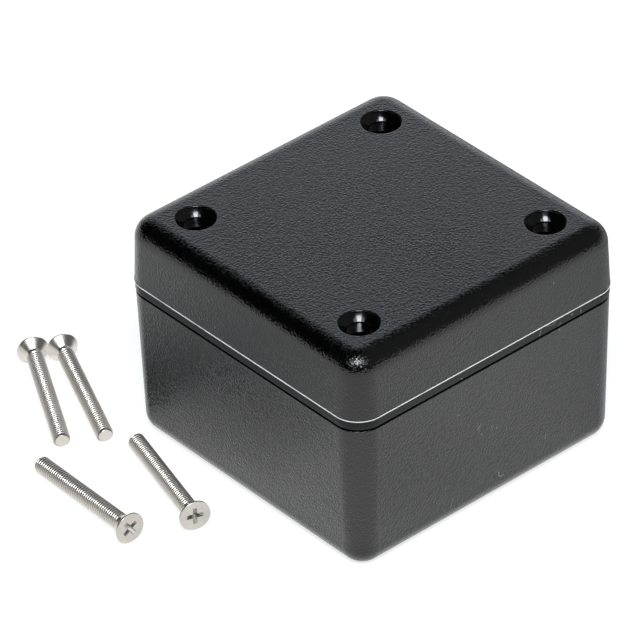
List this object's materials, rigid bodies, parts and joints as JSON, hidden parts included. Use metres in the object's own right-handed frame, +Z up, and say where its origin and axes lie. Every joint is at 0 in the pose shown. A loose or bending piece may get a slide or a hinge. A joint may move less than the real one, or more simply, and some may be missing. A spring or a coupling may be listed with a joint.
{
  "type": "plastic enclosure",
  "caption": "Small black moulded box with a rounded lid that lifts off, corner posts with thread inserts, and its countersunk lid screws lying beside it.",
  "frame": {"origin": "centre of the base's flat underside, on the surface that the box stands on", "axes": "+Z up, +X along the box's width, +Y along its depth; the screws lie in front of its left corner"},
  "size_m": [0.0844, 0.0817, 0.0427],
  "materials": {
    "black_plastic": "fine moulded grain outside, smooth rim and recesses",
    "insert_brass": "knurled and turned",
    "screw_steel": "bright, rolled thread"
  },
  "bodies": {
    "base_body": {"base": "black_plastic", "threaded_inserts": "insert_brass", "lid_screws": "screw_steel"},
    "lid_body": {"lid": "black_plastic"}
  },
  "joints": [
    {"name": "lid_lift", "type": "slide", "parent": "base_body", "child": "lid_body", "axis": [0, 0, 1], "range_m": [0, 0.045]}
  ]
}
